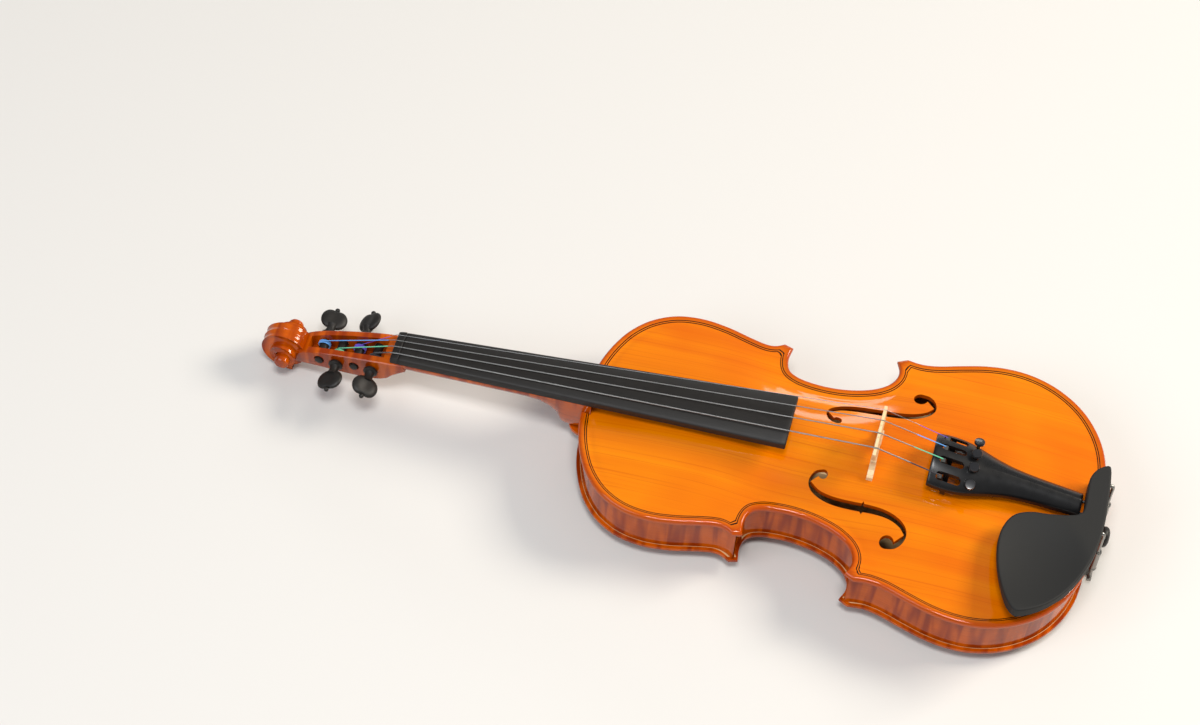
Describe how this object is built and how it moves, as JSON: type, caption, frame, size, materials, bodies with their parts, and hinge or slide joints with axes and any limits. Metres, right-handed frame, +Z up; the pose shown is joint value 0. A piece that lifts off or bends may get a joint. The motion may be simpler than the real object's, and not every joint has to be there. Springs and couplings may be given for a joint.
{
  "type": "violin",
  "caption": "Half-size violin lying on its back, with strings, turning pegs, tailpiece with built-in fine tuners, and a chinrest clamped over the tail.",
  "frame": {"origin": "bottom centre of the bounding box, with the violin lying on its back on a table", "axes": "+X from the scroll to the tail, +Y to the treble (E string) side, +Z up, out of the top plate"},
  "size_m": [0.5262, 0.1822, 0.0849],
  "materials": {
    "varnished_spruce": "orange-amber varnish, gloss",
    "varnished_maple": "red-orange varnish, gloss",
    "bare_wood": "bare, planed",
    "bridge_maple": "bare, satin",
    "black_wood": "black-stained hardwood, satin",
    "moulded_black": "moulded, satin black",
    "chinrest_plastic": "moulded, fine matte black",
    "nylon_cord": "drawn nylon, black",
    "string_steel": "wound steel, bright",
    "string_silk": "coloured thread wrapping",
    "tuner_brass": "turned brass, head blackened",
    "nickel_steel": "nickel-plated"
  },
  "bodies": {
    "root": {"back_plate": "varnished_maple", "bass_bar": "bare_wood", "bridge": "bridge_maple", "chinrest": "chinrest_plastic", "corner_block_lower_bass": "bare_wood", "corner_block_lower_treble": "bare_wood", "corner_block_upper_bass": "bare_wood", "corner_block_upper_treble": "bare_wood", "end_block": "bare_wood", "end_button": "black_wood", "fingerboard": "black_wood", "lining_back_lower_bass": "bare_wood", "lining_back_lower_treble": "bare_wood", "lining_back_upper_bass": "bare_wood", "lining_back_upper_treble": "bare_wood", "lining_back_waist_bass": "bare_wood", "lining_back_waist_treble": "bare_wood", "lining_top_lower_bass": "bare_wood", "lining_top_lower_treble": "bare_wood", "lining_top_upper_bass": "bare_wood", "lining_top_upper_treble": "bare_wood", "lining_top_waist_bass": "bare_wood", "lining_top_waist_treble": "bare_wood", "neck_block": "bare_wood", "neck_scroll": "varnished_maple", "nut": "black_wood", "rib_lower_bass": "varnished_maple", "rib_lower_treble": "varnished_maple", "rib_upper_bass": "varnished_maple", "rib_upper_treble": "varnished_maple", "rib_waist_bass": "varnished_maple", "rib_waist_treble": "varnished_maple", "saddle": "black_wood", "sound_post": "bare_wood", "string_a": "string_steel", "string_d": "string_steel", "string_e": "string_steel", "string_g": "string_steel", "tailgut": "nylon_cord", "tailpiece": "moulded_black", "top_plate": "varnished_spruce"},
    "peg_e": {"peg_e": "black_wood", "winding_e": "string_silk"},
    "peg_a": {"peg_a": "black_wood", "winding_a": "string_silk"},
    "peg_d": {"peg_d": "black_wood", "winding_d": "string_silk"},
    "peg_g": {"peg_g": "black_wood", "winding_g": "string_silk"},
    "tuner_screw_e": {"tuner_screw_e": "tuner_brass"},
    "tuner_lever_e": {"tuner_lever_e": "nickel_steel"},
    "tuner_screw_a": {"tuner_screw_a": "tuner_brass"},
    "tuner_lever_a": {"tuner_lever_a": "nickel_steel"},
    "tuner_screw_d": {"tuner_screw_d": "tuner_brass"},
    "tuner_lever_d": {"tuner_lever_d": "nickel_steel"},
    "tuner_screw_g": {"tuner_screw_g": "tuner_brass"},
    "tuner_lever_g": {"tuner_lever_g": "nickel_steel"},
    "chinrest_barrel_bass": {"chinrest_barrel_bass": "nickel_steel"},
    "chinrest_barrel_treble": {"chinrest_barrel_treble": "nickel_steel"},
    "chinrest_clamp_foot": {"chinrest_clamp_foot": "nickel_steel"}
  },
  "joints": [
    {"name": "peg_e_turn", "type": "hinge", "parent": "root", "child": "peg_e", "pos_m": [-0.19995, 0, 0.02778], "axis": [0, 1, 0], "continuous": true},
    {"name": "peg_a_turn", "type": "hinge", "parent": "root", "child": "peg_a", "pos_m": [-0.22253, 0, 0.02339], "axis": [0, 1, 0], "continuous": true},
    {"name": "peg_d_turn", "type": "hinge", "parent": "root", "child": "peg_d", "pos_m": [-0.21124, 0, 0.02559], "axis": [0, 1, 0], "continuous": true},
    {"name": "peg_g_turn", "type": "hinge", "parent": "root", "child": "peg_g", "pos_m": [-0.18866, 0, 0.02998], "axis": [0, 1, 0], "continuous": true},
    {"name": "tuner_e_screw", "type": "hinge", "parent": "root", "child": "tuner_screw_e", "pos_m": [0.17537, 0.01335, 0.06567], "axis": [0, 0.309, 0.9511], "range_deg": [-1080, 0]},
    {"name": "tuner_e_lever", "type": "hinge", "parent": "root", "child": "tuner_lever_e", "pos_m": [0.16087, 0.01335, 0.05727], "axis": [0, 1, 0], "range_deg": [0, 7.2]},
    {"name": "tuner_a_screw", "type": "hinge", "parent": "root", "child": "tuner_screw_a", "pos_m": [0.17537, 0.00445, 0.06984], "axis": [0, 0.1045, 0.9945], "range_deg": [-1080, 0]},
    {"name": "tuner_a_lever", "type": "hinge", "parent": "root", "child": "tuner_lever_a", "pos_m": [0.16087, 0.00445, 0.06144], "axis": [0, 1, 0], "range_deg": [0, 7.2]},
    {"name": "tuner_d_screw", "type": "hinge", "parent": "root", "child": "tuner_screw_d", "pos_m": [0.17537, -0.00445, 0.06984], "axis": [0, -0.1045, 0.9945], "range_deg": [-1080, 0]},
    {"name": "tuner_d_lever", "type": "hinge", "parent": "root", "child": "tuner_lever_d", "pos_m": [0.16087, -0.00445, 0.06144], "axis": [0, 1, 0], "range_deg": [0, 7.2]},
    {"name": "tuner_g_screw", "type": "hinge", "parent": "root", "child": "tuner_screw_g", "pos_m": [0.17537, -0.01335, 0.06567], "axis": [0, -0.309, 0.9511], "range_deg": [-1080, 0]},
    {"name": "tuner_g_lever", "type": "hinge", "parent": "root", "child": "tuner_lever_g", "pos_m": [0.16087, -0.01335, 0.05727], "axis": [0, 1, 0], "range_deg": [0, 7.2]},
    {"name": "chinrest_barrel_bass_turn", "type": "hinge", "parent": "root", "child": "chinrest_barrel_bass", "pos_m": [0.25727, -0.017, 0.0265], "axis": [0, 0, 1], "range_deg": [0, 910]},
    {"name": "chinrest_barrel_treble_turn", "type": "hinge", "parent": "root", "child": "chinrest_barrel_treble", "pos_m": [0.25727, 0.017, 0.0265], "axis": [0, 0, 1], "range_deg": [0, 910]},
    {"name": "chinrest_foot_slide", "type": "slide", "parent": "root", "child": "chinrest_clamp_foot", "axis": [0, 0, -1], "range_m": [0, 0.004]}
  ],
  "couplings": [
    {"joint": "tuner_e_lever", "follows": "tuner_e_screw", "ratio": -0.0066},
    {"joint": "tuner_a_lever", "follows": "tuner_a_screw", "ratio": -0.0066},
    {"joint": "tuner_d_lever", "follows": "tuner_d_screw", "ratio": -0.0066},
    {"joint": "tuner_g_lever", "follows": "tuner_g_screw", "ratio": -0.0066},
    {"joint": "chinrest_barrel_bass_turn", "follows": "chinrest_foot_slide", "rad_per_m": 3927},
    {"joint": "chinrest_barrel_treble_turn", "follows": "chinrest_foot_slide", "rad_per_m": 3927}
  ]
}
